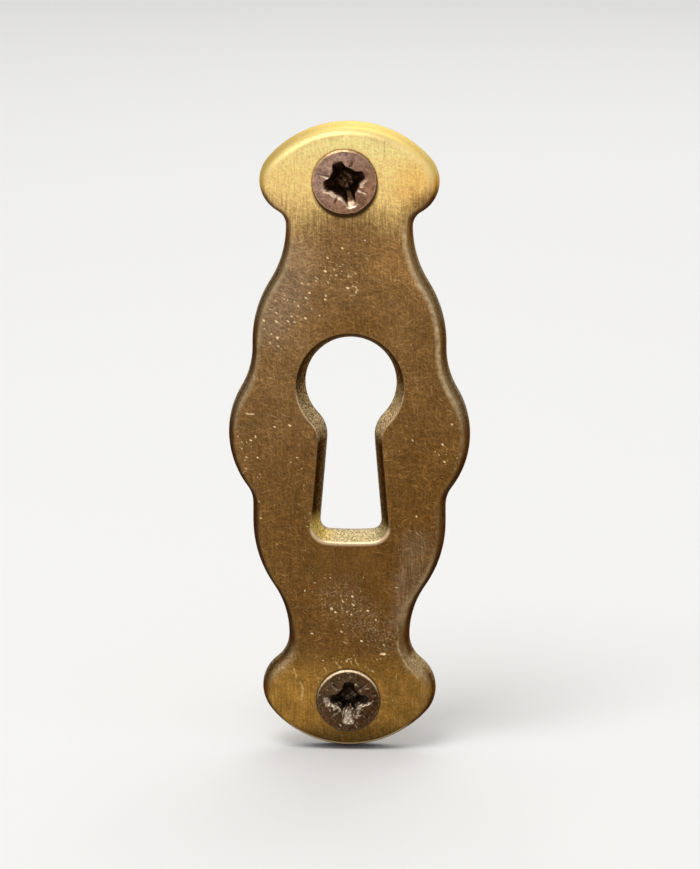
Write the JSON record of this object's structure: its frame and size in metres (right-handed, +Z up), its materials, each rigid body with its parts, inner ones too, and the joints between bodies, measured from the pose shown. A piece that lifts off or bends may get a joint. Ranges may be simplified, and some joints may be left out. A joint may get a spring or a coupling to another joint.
{
  "type": "keyhole escutcheon",
  "caption": "Tarnished brass keyhole escutcheon: a flat waisted plate with lobed ends, drafted walls, a round-topped keyhole and countersunk cross-recess wood screws.",
  "frame": {"origin": "in the plane of the plate's flat back, on its centre line and level with its widest bulge; the point lies in the keyhole", "axes": "+Z up the plate to its upper screw, +Y out of the back into the door, the front faces -Y, +X to the right seen from the front"},
  "size_m": [0.0222, 0.0161, 0.0585],
  "materials": {
    "aged_brass": "tarnished brown-gold with fine scratches, brushed brighter at both ends",
    "bronzed_steel": "brown bronze finish on steel, worn bright along the recess"
  },
  "bodies": {
    "root": {"escutcheon_plate": "aged_brass", "fixing_screws": "bronzed_steel"}
  },
  "joints": []
}
